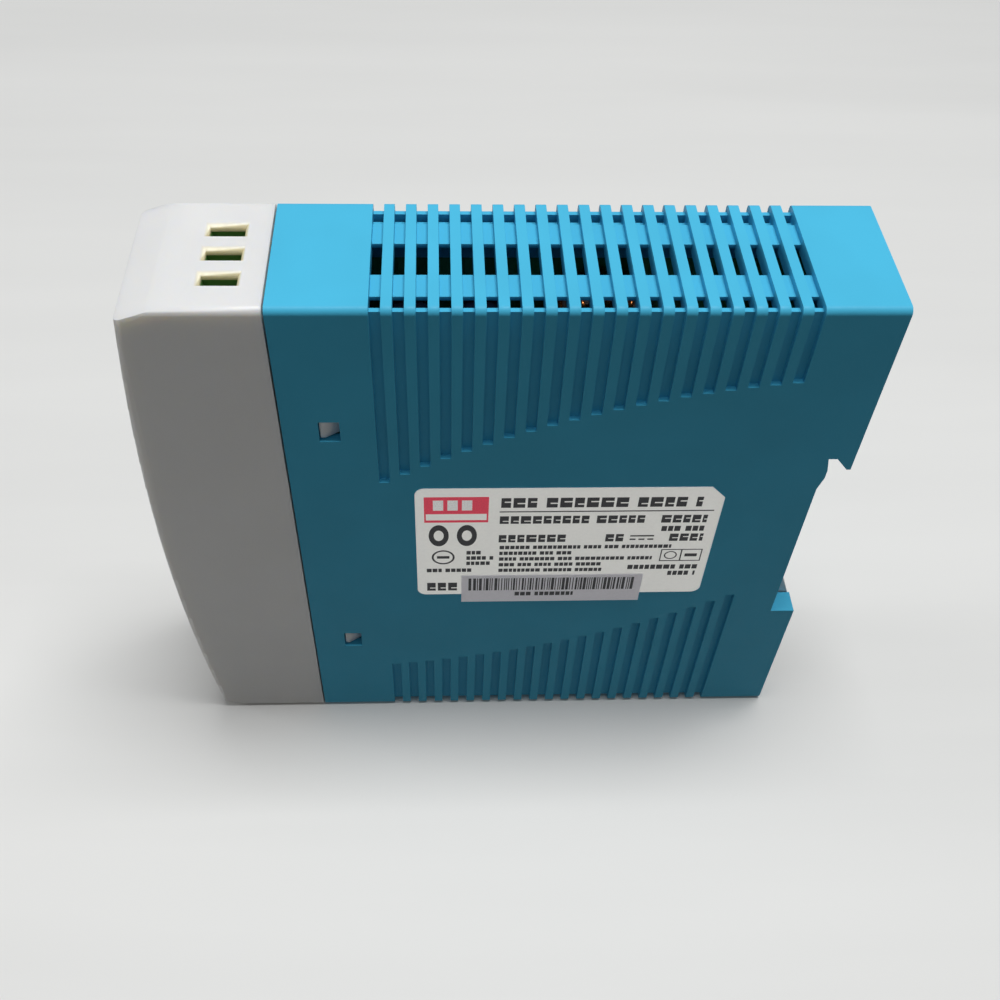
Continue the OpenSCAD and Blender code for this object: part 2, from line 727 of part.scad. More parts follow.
// Rows of small surface-mounted parts
module chip_parts() color([0.3, 0.26, 0.22])
    for (row = [0 : 3], i = [0 : 4])
        span([board_x, board_x + 0.6], [-24 + i * 3.6, -22 + i * 3.6],
            [56 + row * 2.6, 57.2 + row * 2.6]);

module output_choke_core() color([0.8, 0.75, 0.2]) ring_core(14, 76, 3.6, [3.4, 6.4]);
module output_choke_winding() color([0.75, 0.42, 0.2])
    ring_winding(14, 76, 3.6, [3.4, 6.4], 30, 300);

// Upright cans with a crimped ring near the board
module can(y, z, r, h)
    difference() {
        rod_x([board_x, board_x + h], y, z, r);
        difference() {
            rod_x([board_x + 1.6, board_x + 2.4], y, z, r + past);
            rod_x([board_x + 1, board_x + 3], y, z, r - 0.3);
        }
    }

module output_capacitors() color([0.15, 0.2, 0.3])
    for (y = [-21.5, -12, -2.5]) can(y, 75, 4.2, 14.4);

// ---------- draw ----------

case();
terminal_cover();
rating_label();
serial_label();
rail_latch();
latch_spring();
light_pipe();
status_lamp();
adjuster_spindle();
trimmer_rotor();
trimmer_body();
front_board();
output_terminal_block();
input_terminal_block();
output_contacts();
input_contacts();
output_screw_1();
output_screw_2();
output_screw_3();
input_screw_1();
input_screw_2();
input_screw_3();
output_clamp_1();
output_clamp_2();
output_clamp_3();
input_clamp_1();
input_clamp_2();
input_clamp_3();
main_board();
insulating_sheet();
board_link();
fuse();
inrush_limiter();
surge_suppressor();
line_choke_core();
line_choke_windings();
filter_capacitor();
bridge_rectifier();
bulk_capacitor();
power_transistor();
primary_heat_sink();
transformer_core();
transformer_bobbin();
transformer_winding();
safety_capacitor();
optocoupler();
control_chip();
chip_parts();
output_rectifier();
secondary_heat_sink();
heat_sink_screws();
output_choke_core();
output_choke_winding();
output_capacitors();
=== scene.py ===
"""A slim DIN rail power supply. Metres: X across the width, Y from front to rear, Z up."""

import json
import math
import random

import bmesh
import bpy
from bmesh.types import BMEdge, BMVert
from mathutils import Matrix, Vector


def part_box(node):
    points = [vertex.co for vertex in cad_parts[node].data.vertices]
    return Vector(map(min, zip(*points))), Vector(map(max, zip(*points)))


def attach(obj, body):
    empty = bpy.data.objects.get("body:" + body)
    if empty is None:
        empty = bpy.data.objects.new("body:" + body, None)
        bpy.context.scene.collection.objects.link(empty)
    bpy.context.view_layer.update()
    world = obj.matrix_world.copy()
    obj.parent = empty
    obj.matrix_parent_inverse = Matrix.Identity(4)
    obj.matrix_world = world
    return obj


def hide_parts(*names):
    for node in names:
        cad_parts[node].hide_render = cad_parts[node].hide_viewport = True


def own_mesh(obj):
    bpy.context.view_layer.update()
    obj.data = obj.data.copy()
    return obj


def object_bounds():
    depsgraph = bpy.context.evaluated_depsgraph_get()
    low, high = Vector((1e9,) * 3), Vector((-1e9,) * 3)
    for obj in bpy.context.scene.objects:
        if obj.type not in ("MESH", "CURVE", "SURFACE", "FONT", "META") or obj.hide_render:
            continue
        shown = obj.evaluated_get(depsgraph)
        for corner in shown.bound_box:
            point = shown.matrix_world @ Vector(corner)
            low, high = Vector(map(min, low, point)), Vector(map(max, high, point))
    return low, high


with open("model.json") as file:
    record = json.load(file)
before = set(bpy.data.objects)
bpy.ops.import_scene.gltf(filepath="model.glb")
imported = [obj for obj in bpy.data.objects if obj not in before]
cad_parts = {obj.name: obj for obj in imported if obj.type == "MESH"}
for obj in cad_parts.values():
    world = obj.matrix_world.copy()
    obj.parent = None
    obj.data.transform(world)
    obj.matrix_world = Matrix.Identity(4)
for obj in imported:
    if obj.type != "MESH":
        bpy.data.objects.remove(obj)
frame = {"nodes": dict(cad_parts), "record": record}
cad_low, cad_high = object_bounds()
nodes = frame["nodes"]
scene = bpy.context.scene

MM = 0.001
FULL_TURN = math.tau
SIDES = ("output", "input")
POLES = (1, 2, 3)

# How far moulded and cut edges are rounded, from how many degrees of turn, and past how many they stay crisp
EDGE = 0.11 * MM
ROUNDED_FROM = 28
CREASE = 50


# ---------- materials ----------

BLUE = (0.064, 0.445, 0.675)
GREY = (0.745, 0.74, 0.73)
# Painted bounce light: the yellow tint of the light the green terminal blocks throw onto the wire windows'
# inner walls
PAINTED_WINDOW_BOUNCE = (0.68, 0.6, 0.37)
SILVER = (0.98, 0.97, 0.935)
PAPER = (0.92, 0.9, 0.96)

# How much darker the stains on bare metal are
STAIN = 0.15

# How far back the row of wire windows lies
WIRE_Y = -35.25 * MM


class Finish:
    """One material: a Principled shader and the patterns that feed it."""

    def __init__(self, name, colour, roughness, metallic=0.0):
        self.material = bpy.data.materials.new(name)
        self.material.use_nodes = True
        self.tree = self.material.node_tree
        self.shader = self.tree.nodes["Principled BSDF"]
        self.shader.inputs["Base Color"].default_value = (*colour, 1)
        self.shader.inputs["Roughness"].default_value = roughness
        self.shader.inputs["Metallic"].default_value = metallic
        self.place = self.add("ShaderNodeTexCoord").outputs["Object"]

    def add(self, kind, **values):
        node = self.tree.nodes.new(kind)
        for key, value in values.items():
            if hasattr(node, key):
                setattr(node, key, value)
            else:
                node.inputs[key].default_value = value
        return node

    def link(self, source, target):
        self.tree.links.new(source, target)

    def noise(self, size, detail=2.0, stretch=(1, 1, 1)):
        """A cloudy pattern with features of about that size, drawn out where stretch is below 1."""
        place = self.add("ShaderNodeMapping")
        place.inputs["Scale"].default_value = stretch
        self.link(self.place, place.inputs["Vector"])
        pattern = self.add("ShaderNodeTexNoise", Scale=1 / size, Detail=detail)
        self.link(place.outputs["Vector"], pattern.inputs["Vector"])
        return pattern.outputs["Fac"]

    def spread(self, value, low, high, start=0.35, end=0.65):
        """value, brought from start-to-end to low-to-high."""
        node = self.add("ShaderNodeMapRange")
        for key, number in (("From Min", start), ("From Max", end), ("To Min", low), ("To Max", high)):
            node.inputs[key].default_value = number
        self.link(value, node.inputs["Value"])
        return node.outputs["Result"]

    def blend(self, share, first, second):
        """Two colours mixed by a pattern; either may come from another pattern."""
        node = self.add("ShaderNodeMix", data_type="RGBA")
        self.link(share, node.inputs["Factor"])
        for colour, socket in ((first, node.inputs[6]), (second, node.inputs[7])):
            if isinstance(colour, tuple):
                socket.default_value = (*colour, 1)
            else:
                self.link(colour, socket)
        return node.outputs[2]

    def reckon(self, operation, *values):
        """The result of a Math node; each value is a number or another node's output."""
        node = self.add("ShaderNodeMath", operation=operation)
        for value, socket in zip(values, node.inputs):
            if isinstance(value, float):
                socket.default_value = value
            else:
                self.link(value, socket)
        return node.outputs[0]

    def colour(self, source):
        self.link(source, self.shader.inputs["Base Color"])

    def drift(self, pattern, first, second):
        """A colour that drifts between two with the pattern."""
        self.colour(self.blend(self.spread(pattern, 0, 1), first, second))

    def uneven(self, value, low, high):
        self.link(self.spread(value, low, high), self.shader.inputs["Roughness"])

    def bump(self, value, depth):
        node = self.add("ShaderNodeBump", Distance=depth)
        self.link(value, node.inputs["Height"])
        self.link(node.outputs["Normal"], self.shader.inputs["Normal"])


def tint(colour, share):
    """A colour made that much lighter, or darker where share is negative."""
    return tuple(max(0.0, min(1.0, part * (1 + share))) for part in colour)


def moulded(name, colour, roughness=0.5, grain=0.35 * MM, depth=0.01 * MM, tone=0.05):
    """Moulded plastic: a fine eroded texture, and a colour that drifts slightly over the part."""
    finish = Finish(name, colour, roughness)
    finish.drift(finish.noise(14 * MM), tint(colour, -tone), tint(colour, tone))
    skin = finish.noise(grain, detail=4)
    finish.uneven(skin, roughness - 0.06, roughness + 0.06)
    finish.bump(skin, depth)
    return finish


def metal(name, colour, roughness=0.35, stretch=(1, 1, 1)):
    """Bare or plated metal with fine drawing marks and cloudy stains."""
    finish = Finish(name, colour, roughness, metallic=1)
    finish.drift(finish.noise(3 * MM), tint(colour, -STAIN), colour)
    marks = finish.noise(0.12 * MM, stretch=stretch)
    finish.uneven(marks, roughness - 0.08, roughness + 0.12)
    finish.bump(marks, 0.004 * MM)
    return finish


def case_blue():
    finish = moulded("case_blue", BLUE, roughness=0.45, grain=0.3 * MM, depth=0.008 * MM, tone=0.03)
    finish.shader.inputs["Specular IOR Level"].default_value = 0.16
    return finish.material


def cover_grey():
    """Light grey plastic, with painted bounce light: a yellower tint on the inner walls of the wire windows,
    where the green terminal blocks throw light back.
    """
    finish = moulded("cover_grey", GREY, roughness=0.42, grain=0.28 * MM, depth=0.007 * MM, tone=0.015)
    finish.shader.inputs["Specular IOR Level"].default_value = 1
    finish.shader.inputs["Subsurface Weight"].default_value = 0.4
    finish.shader.inputs["Subsurface Radius"].default_value = (1, 0.8, 0.5)
    finish.shader.inputs["Subsurface Scale"].default_value = 4 * MM
    place = finish.add("ShaderNodeSeparateXYZ")
    finish.link(finish.place, place.inputs[0])
    middle = (cad_low + cad_high) / 2
    # The space of the painted bounce light in the windows: along each axis its middle, and from where to
    # where either side of it the painted tint fades
    bounce_zone = (("X", middle.x, 6.9 * MM, 7.1 * MM), ("Y", WIRE_Y, 2.9 * MM, 3.1 * MM),
               ("Z", middle.z, 44.6 * MM, 44.92 * MM))
    share = None
    for axis, centre, near, far in bounce_zone:
        reach = finish.reckon("ABSOLUTE", finish.reckon("SUBTRACT", place.outputs[axis], centre))
        inside = finish.spread(reach, 1, 0, near, far)
        share = finish.reckon("MULTIPLY", share, inside) if share else inside
    # Inside the windows the plain grey turns to the painted bounce light's yellow tint
    plain = finish.shader.inputs["Base Color"].links[0].from_socket
    finish.colour(finish.blend(share, plain, PAINTED_WINDOW_BOUNCE))
    return finish.material


def board_green():
    """Solder mask over copper tracks, which show as slightly lighter, raised bands."""
    finish = Finish("board_green", (0.02, 0.19, 0.07), 0.3)
    tracks = finish.add("ShaderNodeTexBrick", Scale=1 / (9 * MM))
    finish.link(finish.place, tracks.inputs["Vector"])
    cloud = finish.noise(5 * MM)
    tone = finish.blend(finish.spread(cloud, 0, 1), (0.015, 0.15, 0.055), (0.03, 0.24, 0.09))
    finish.colour(finish.blend(tracks.outputs["Fac"], tone, (0.05, 0.3, 0.12)))
    finish.bump(tracks.outputs["Fac"], 0.03 * MM)
    return finish.material


def see_through(name, colour):
    finish = Finish(name, colour, 0.12)
    finish.shader.inputs["Transmission Weight"].default_value = 0.75
    finish.shader.inputs["IOR"].default_value = 1.49
    haze = finish.noise(0.8 * MM)
    finish.uneven(haze, 0.08, 0.22)
    finish.bump(haze, 0.01 * MM)
    return finish.material


def label_film():
    """Satin metallised film, which takes its brightness from what it faces."""
    finish = Finish("label_film", SILVER, 0.42, metallic=0.65)
    fibre = finish.noise(0.5 * MM, detail=4)
    finish.drift(fibre, tint(SILVER, -0.03), SILVER)
    finish.uneven(fibre, 0.36, 0.48)
    finish.bump(finish.noise(6 * MM), 0.03 * MM)
    return finish.material


def serial_paper():
    """Duller film with a lilac cast."""
    finish = Finish("serial_paper", PAPER, 0.5, metallic=0.27)
    fibre = finish.noise(0.4 * MM, detail=4)
    finish.drift(fibre, tint(PAPER, -0.04), PAPER)
    finish.uneven(fibre, 0.44, 0.56)
    finish.bump(fibre, 0.004 * MM)
    return finish.material


def ink(name, colour, metallic=0.0):
    """Printing ink; a thin one lets the metallised film shine through it."""
    finish = Finish(name, colour, 0.5, metallic)
    grain = finish.noise(0.2 * MM)
    finish.drift(grain, tint(colour, -0.1), tint(colour, 0.1))
    finish.uneven(grain, 0.45, 0.6)
    return finish.material


def ferrite():
    finish = Finish("ferrite", (0.035, 0.035, 0.04), 0.6)
    pits = finish.noise(0.25 * MM, detail=6)
    finish.drift(pits, (0.02, 0.02, 0.022), (0.07, 0.07, 0.075))
    finish.uneven(pits, 0.5, 0.75)
    finish.bump(pits, 0.03 * MM)
    return finish.material


MATERIALS = {
    "blue_case": case_blue(),
    "grey_cover": cover_grey(),
    "label_film": label_film(),
    "latch_plastic": moulded("latch_plastic", (0.72, 0.74, 0.73), 0.4).material,
    "spring_steel": metal("spring_steel", (0.5, 0.5, 0.48), 0.3).material,
    "clear_plastic": see_through("clear_plastic", (0.72, 0.86, 0.74)),
    "white_plastic": moulded("white_plastic", (0.74, 0.72, 0.66), 0.45).material,
    "blue_epoxy": moulded("blue_epoxy", (0.02, 0.09, 0.35), 0.22, grain=1.5 * MM,
                          depth=0.05 * MM).material,
    "board_green": board_green(),
    "green_terminal": moulded("green_terminal", (0.13, 0.36, 0.08), 0.4).material,
    "tinned_metal": metal("tinned_metal", (0.72, 0.72, 0.68), 0.3).material,
    "zinc_steel": metal("zinc_steel", (0.6, 0.6, 0.57), 0.32).material,
    "clamp_brass": metal("clamp_brass", (0.66, 0.58, 0.4), 0.34).material,
    "black_plastic": moulded("black_plastic", (0.015, 0.015, 0.017), 0.5).material,
    "ceramic_white": moulded("ceramic_white", (0.62, 0.58, 0.48), 0.6, depth=0.02 * MM).material,
    "ferrite": ferrite(),
    "copper_wire": metal("copper_wire", (0.5, 0.17, 0.05), 0.28).material,
    "yellow_plastic": moulded("yellow_plastic", (0.68, 0.44, 0.04), 0.3).material,
    "can_sleeve": moulded("can_sleeve", (0.02, 0.035, 0.08), 0.25, grain=2 * MM).material,
    "bare_aluminium": metal("bare_aluminium", (0.66, 0.67, 0.68), 0.38,
                            stretch=(1, 0.05, 1)).material,
}


# ---------- finishing the CAD nodes ----------


def soft_shading(name, calm=()):
    """Smooth shading that keeps edges past the crease crisp, except where every calm test holds.

    A calm test is (axis, operation, centre, reach): EQUAL for places within the reach of the centre,
    NOT_EQUAL for places beyond it.
    """
    group = bpy.data.node_groups.new(name, "GeometryNodeTree")
    group.interface.new_socket("Geometry", in_out="INPUT", socket_type="NodeSocketGeometry")
    group.interface.new_socket("Geometry", in_out="OUTPUT", socket_type="NodeSocketGeometry")

    def join(operation, first, second):
        node = group.nodes.new("FunctionNodeBooleanMath")
        node.operation = operation
        group.links.new(first, node.inputs[0])
        group.links.new(second, node.inputs[1])
        return node.outputs[0]

    start = group.nodes.new("NodeGroupInput")
    end = group.nodes.new("NodeGroupOutput")
    faces = group.nodes.new("GeometryNodeSetShadeSmooth")
    edges = group.nodes.new("GeometryNodeSetShadeSmooth")
    angle = group.nodes.new("GeometryNodeInputMeshEdgeAngle")
    sharp = group.nodes.new("FunctionNodeCompare")
    faces.domain = "FACE"
    edges.domain = "EDGE"
    edges.inputs["Shade Smooth"].default_value = False
    sharp.inputs["B"].default_value = math.radians(CREASE)
    group.links.new(start.outputs[0], faces.inputs["Geometry"])
    group.links.new(faces.outputs[0], edges.inputs["Geometry"])
    group.links.new(angle.outputs["Unsigned Angle"], sharp.inputs["A"])
    crisp = sharp.outputs["Result"]
    if calm:
        position = group.nodes.new("GeometryNodeInputPosition")
        place = group.nodes.new("ShaderNodeSeparateXYZ")
        group.links.new(position.outputs[0], place.inputs[0])
        smooth = None
        for axis, operation, centre, reach in calm:
            test = group.nodes.new("FunctionNodeCompare")
            test.operation = operation
            test.inputs["B"].default_value = centre
            test.inputs["Epsilon"].default_value = reach
            group.links.new(place.outputs[axis], test.inputs["A"])
            holds = test.outputs["Result"]
            smooth = join("AND", smooth, holds) if smooth else holds
        crisp = join("NIMPLY", crisp, smooth)
    group.links.new(crisp, edges.inputs["Selection"])
    group.links.new(edges.outputs[0], end.inputs[0])
    return group


SHADING = soft_shading("soft_shading")

# The cover's bowed upright edges: near its sides and its front, clear of the top and the bottom
COVER_BOW = (("X", "NOT_EQUAL", 0, 10.1 * MM), ("Y", "EQUAL", -50 * MM, 5 * MM),
             ("Z", "EQUAL", 45 * MM, 37.5 * MM))
COVER_SHADING = soft_shading("cover_shading", COVER_BOW)


def round_edges(piece, width=EDGE, limit=ROUNDED_FROM, shading=SHADING):
    """Live modifiers: join the mesh, clear its flats, round its edges and shade it softly."""
    weld = piece.modifiers.new("weld", "WELD")
    weld.merge_threshold = 0.001 * MM
    flats = piece.modifiers.new("flats", "DECIMATE")
    flats.decimate_type = "DISSOLVE"
    flats.angle_limit = math.radians(1)
    bevel = piece.modifiers.new("edges", "BEVEL")
    bevel.width = width
    bevel.segments = 2
    bevel.limit_method = "ANGLE"
    bevel.angle_limit = math.radians(limit)
    shade = piece.modifiers.new("shading", "NODES")
    shade.node_group = shading
    weigh = piece.modifiers.new("normals", "WEIGHTED_NORMAL")
    weigh.keep_sharp = True


def dress(piece, slot):
    piece.data.materials.clear()
    piece.data.materials.append(MATERIALS[slot])


SLOT_OF = {row["node"]: row["material_slot"] for row in frame["record"]["subparts"]}

# Edges that differ from the rest. The cover's bow is made of fine facets, so only its square edges
# are rounded
OWN_EDGES = {
    "rating_label": {"width": 0.02 * MM},
    "serial_label": {"width": 0.02 * MM},
    "case": {"width": 0.12 * MM},
    "terminal_cover": {"width": 0.12 * MM, "limit": 60, "shading": COVER_SHADING},
}


# ---------- building new pieces ----------

# Points nearer than this count as one, and points nearer to a cut than this lie on it
TOUCHING = 0.0005 * MM
ON_CUT = 0.0001 * MM


def piece_from(mesh_builder, name, body, slot, stands_for=(), smooth=True):
    """A new object at the origin from a bmesh, riding on a body and standing for CAD nodes."""
    mesh = bpy.data.meshes.new(name)
    mesh_builder.to_mesh(mesh)
    mesh_builder.free()
    piece = bpy.data.objects.new(name, mesh)
    scene.collection.objects.link(piece)
    dress(piece, slot)
    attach(piece, body)
    if stands_for:
        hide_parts(*stands_for)
    if smooth:
        shade = piece.modifiers.new("shading", "NODES")
        shade.node_group = SHADING
    return piece


def picked(items, kind):
    """The vertices or the edges among an operator's results."""
    return [item for item in items if isinstance(item, kind)]


def add_block(builder, low, high):
    """A box between two corners."""
    low, high = Vector(low), Vector(high)
    place = Matrix.Translation((low + high) / 2) @ Matrix.Diagonal((*(high - low), 1))
    bmesh.ops.create_cube(builder, size=1, matrix=place)


def add_turned(builder, outline, foot, axis, steps):
    """A turned part: outline is (radius, distance along axis) from one end of the axis to the other."""
    axis = Vector(axis).normalized()
    side = axis.orthogonal().normalized()
    points = [builder.verts.new(Vector(foot) + axis * along + side * radius) for radius, along in outline]
    lines = [builder.edges.new(pair) for pair in zip(points, points[1:])]
    bmesh.ops.spin(builder, geom=points + lines, cent=foot, axis=axis, angle=FULL_TURN, steps=steps,
                   use_merge=True, use_duplicate=False)


def close_up(builder):
    """Joins what touches, closes open rims and turns every face outwards."""
    bmesh.ops.remove_doubles(builder, verts=builder.verts, dist=TOUCHING)
    rims = [edge for edge in builder.edges if edge.is_boundary]
    if rims:
        bmesh.ops.holes_fill(builder, edges=rims, sides=0)
    bmesh.ops.recalc_face_normals(builder, faces=builder.faces)


def sink(builder, cuts, is_sunk, depth):
    """Splits the faces along the cutting planes, then sinks those whose middle passes the test."""
    for point, normal in cuts:
        bmesh.ops.bisect_plane(builder, geom=builder.verts[:] + builder.edges[:] + builder.faces[:],
                               plane_co=point, plane_no=normal, dist=ON_CUT)
    sunk = [face for face in builder.faces if is_sunk(face)]
    made = bmesh.ops.extrude_face_region(builder, geom=sunk)["geom"]
    bmesh.ops.delete(builder, geom=sunk, context="FACES")
    bmesh.ops.translate(builder, vec=depth, verts=picked(made, BMVert))


def on_front(face, front_y):
    """Whether a face lies flat in the front plane."""
    return face.normal.y < -0.99 and face.calc_center_median().y < front_y + 0.01 * MM


def slot_cuts(middle, across, upward):
    """Cutting planes on both sides of the middle, at the distances across in X and upward in Z."""
    cuts = [((middle.x + s * d, 0, 0), (1, 0, 0)) for s in (-1, 1) for d in across]
    return cuts + [((0, 0, middle.z + s * d), (0, 0, 1)) for s in (-1, 1) for d in upward]


# ---------- screws, spindle, lamp, spring ----------

# Facets in one turn of a screw's thread and of the spring
THREAD_STEPS = 20
SPRING_STEPS = 28


def clamp_screw(side, pole):
    """A cheese-head screw with a cross-and-slot recess and a real helical thread."""
    name = f"{side}_screw_{pole}"
    low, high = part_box(name)
    middle = (low + high) / 2
    front = Vector((middle.x, low.y, middle.z))
    length = high.y - low.y
    head_r = (high.x - low.x) / 2
    head_t = 1.5 * MM
    rim = 0.1 * MM
    crest_r = 1.25 * MM
    core_r = 1.0 * MM
    root_r = core_r - 0.05 * MM
    thread_from = head_t + 0.3 * MM
    half_ridge = 0.2 * MM
    unthreaded = 0.8 * MM
    thread_pitch = 0.45 * MM
    point = 0.3 * MM
    builder = bmesh.new()
    # The head's front edge is rounded in three steps; its rear edge and the tip are chamfered
    outline = [(0, 0), (head_r - 0.22 * MM, 0), (head_r - 0.07 * MM, 0.06 * MM), (head_r, 0.2 * MM),
               (head_r, head_t - rim), (head_r - rim, head_t), (core_r, head_t),
               (core_r, length - point), (core_r - point, length), (0, length)]
    add_turned(builder, outline, front, (0, 1, 0), steps=36)
    close_up(builder)
    # Half the slot's width and length, and half the length of the shorter bar across it
    slot_w, slot_l, cross_l = 0.3 * MM, head_r * 0.8, head_r * 0.58
    recess_depth = 0.7 * MM
    cuts = slot_cuts(middle, (slot_w, slot_l), (slot_w, cross_l))

    def in_recess(face):
        at = face.calc_center_median()
        x, z = abs(at.x - middle.x), abs(at.z - middle.z)
        return on_front(face, low.y) and ((z < slot_w and x < slot_l) or (x < slot_w and z < cross_l))

    sink(builder, cuts, in_recess, Vector((0, recess_depth, 0)))
    ridge = [builder.verts.new(front + Vector((radius, thread_from + along, 0)))
             for radius, along in ((root_r, -half_ridge), (crest_r, 0), (root_r, half_ridge))]
    profile = builder.faces.new(ridge)
    turns = int((length - head_t - unthreaded) / thread_pitch)
    bmesh.ops.spin(builder, geom=[profile, *profile.edges, *profile.verts], cent=front, axis=(0, 1, 0),
                   dvec=(0, thread_pitch / THREAD_STEPS, 0), angle=FULL_TURN * turns,
                   steps=THREAD_STEPS * turns, use_merge=False, use_duplicate=False)
    bmesh.ops.recalc_face_normals(builder, faces=builder.faces)
    piece_from(builder, f"{side}_clamp_screw_{pole}", name, "zinc_steel", (name,))


def adjuster():
    """The voltage adjuster: a slotted round head on its spindle."""
    low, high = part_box("adjuster_spindle")
    middle = (low + high) / 2
    head_r = (high.x - low.x) / 2
    length = high.y - low.y
    head_t = 2.05 * MM
    stem_r = 1.2 * MM
    chamfer = 0.2 * MM
    builder = bmesh.new()
    outline = [(0, 0), (head_r - chamfer, 0), (head_r, chamfer), (head_r, head_t - chamfer / 2),
               (head_r - chamfer / 2, head_t), (stem_r, head_t), (stem_r, length - chamfer),
               (stem_r - chamfer, length), (0, length)]
    add_turned(builder, outline, (middle.x, low.y, middle.z), (0, 1, 0), steps=48)
    close_up(builder)
    # Half the slot's width and length
    slot_w, slot_l = 0.35 * MM, 1.5 * MM
    slot_depth = 1.05 * MM

    def in_slot(face):
        at = face.calc_center_median()
        return on_front(face, low.y) and abs(at.x - middle.x) < slot_l and abs(at.z - middle.z) < slot_w

    sink(builder, slot_cuts(middle, (slot_l,), (slot_w,)), in_slot, Vector((0, slot_depth, 0)))
    piece_from(builder, "adjuster_knob", "adjuster", "white_plastic", ("adjuster_spindle",))


def latch_spring():
    """The latch's return spring, a coil of round wire at one fixed length; the real spring shortens as the
    latch slides down.
    """
    low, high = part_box("latch_spring")
    middle = (low + high) / 2
    wire_r = 0.22 * MM
    coil_r = (high.x - low.x) / 2 - wire_r
    turns = 8
    steps = SPRING_STEPS * turns
    rise = (high.z - low.z - 2 * wire_r) / steps
    place = Matrix.Translation((middle.x + coil_r, middle.y, low.z + wire_r))
    facing = Matrix.Rotation(math.pi / 2, 4, "X")
    builder = bmesh.new()
    start = bmesh.ops.create_circle(builder, cap_ends=True, segments=10, radius=wire_r,
                                    matrix=place @ facing)["verts"]
    faces = list({face for vert in start for face in vert.link_faces})
    edges = list({edge for vert in start for edge in vert.link_edges})
    bmesh.ops.spin(builder, geom=start + edges + faces, cent=middle, axis=(0, 0, 1), dvec=(0, 0, rise),
                   angle=FULL_TURN * turns, steps=steps, use_merge=False, use_duplicate=False)
    bmesh.ops.recalc_face_normals(builder, faces=builder.faces)
    spring = piece_from(builder, "latch_spring_coil", "supply", "spring_steel", ("latch_spring",))
    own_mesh(spring)


def light_pipe():
    """The clear light pipe in front of the lamp, with a domed front and a flange behind the cover."""
    low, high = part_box("light_pipe")
    middle = (low + high) / 2
    flange_r = (high.x - low.x) / 2
    flange_from, flange_to = 4.9 * MM, 5.9 * MM
    radius = 1.4 * MM
    rise = 0.45 * MM
    length = high.y - low.y
    dome_steps = 8
    leans = [k * math.pi / (2 * dome_steps) for k in range(dome_steps + 1)]
    dome = [(radius * math.sin(lean), rise * (1 - math.cos(lean))) for lean in leans]
    stem = [(radius, flange_from), (flange_r, flange_from), (flange_r, flange_to), (radius, flange_to),
            (radius, length), (0, length)]
    builder = bmesh.new()
    add_turned(builder, dome + stem, (middle.x, low.y, middle.z), (0, 1, 0), steps=36)
    close_up(builder)
    piece_from(builder, "lamp_lens", "supply", "clear_plastic", ("light_pipe",))


# ---------- windings ----------

# Radial thickness of the two ring cores, and the wire on them: its radius, its bends, how far off the
# core it lies, and how near its start and end come before they are joined
CORE_T = 3.4 * MM
WIRE_R = 0.33 * MM
WIRE_BEND = 0.5 * MM
WIRE_GAP = 0.06 * MM
WIRE_JOIN = 0.002 * MM


def add_loop(builder, middle, out, along, reach, rise):
    """A closed loop of round wire on a rounded rectangle about middle, reach out and rise along."""
    side = out.cross(along)
    at = middle + out * reach - along * (rise - WIRE_BEND)
    facing = Matrix((out, side, along)).transposed().to_4x4()
    start = bmesh.ops.create_circle(builder, segments=8, radius=WIRE_R,
                                    matrix=Matrix.Translation(at) @ facing)["verts"]
    rim = start + list({edge for vert in start for edge in vert.link_edges})
    legs = ((along, out, rise), (-out, along, reach), (-along, -out, rise), (out, -along, reach))
    for heading, outward, half in legs:
        made = bmesh.ops.extrude_edge_only(builder, edges=picked(rim, BMEdge))["geom"]
        moved = picked(made, BMVert)
        leg = heading * 2 * (half - WIRE_BEND)
        bmesh.ops.translate(builder, vec=leg, verts=moved)
        rim = moved + [edge for edge in picked(made, BMEdge) if all(vert in moved for vert in edge.verts)]
        pivot = at + leg - outward * WIRE_BEND
        bent = bmesh.ops.spin(builder, geom=rim, cent=pivot, axis=side, angle=math.pi / 2, steps=3)
        rim = bent["geom_last"]
        at = pivot + heading * WIRE_BEND


def wire_winding(node_name, core_name, arcs):
    """Turns of wire round a ring core that lies flat on the board.

    arcs lists (from, sweep, turns), the first two in degrees.
    """
    low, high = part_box(core_name)
    middle = (low + high) / 2
    outer_r = (high.z - low.z) / 2
    inner_r = outer_r - CORE_T
    axis = Vector((1, 0, 0))
    reach = CORE_T / 2 + WIRE_R + WIRE_GAP
    rise = (high.x - low.x) / 2 + WIRE_R + WIRE_GAP
    builder = bmesh.new()
    for begin, sweep, turns in arcs:
        for k in range(turns):
            angle = math.radians(begin + sweep * (k + 0.5) / turns)
            out = Vector((0, math.sin(angle), -math.cos(angle)))
            add_loop(builder, middle + out * (inner_r + outer_r) / 2, out, axis, reach, rise)
    bmesh.ops.remove_doubles(builder, verts=builder.verts, dist=WIRE_JOIN)
    bmesh.ops.recalc_face_normals(builder, faces=builder.faces)
    piece_from(builder, f"{node_name}_wire", "supply", "copper_wire", (node_name,))


# ---------- the printed labels ----------

label_low, label_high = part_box("rating_label")
serial_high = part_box("serial_label")[1]

# How thick the ink is
PRINT_T = 0.012 * MM


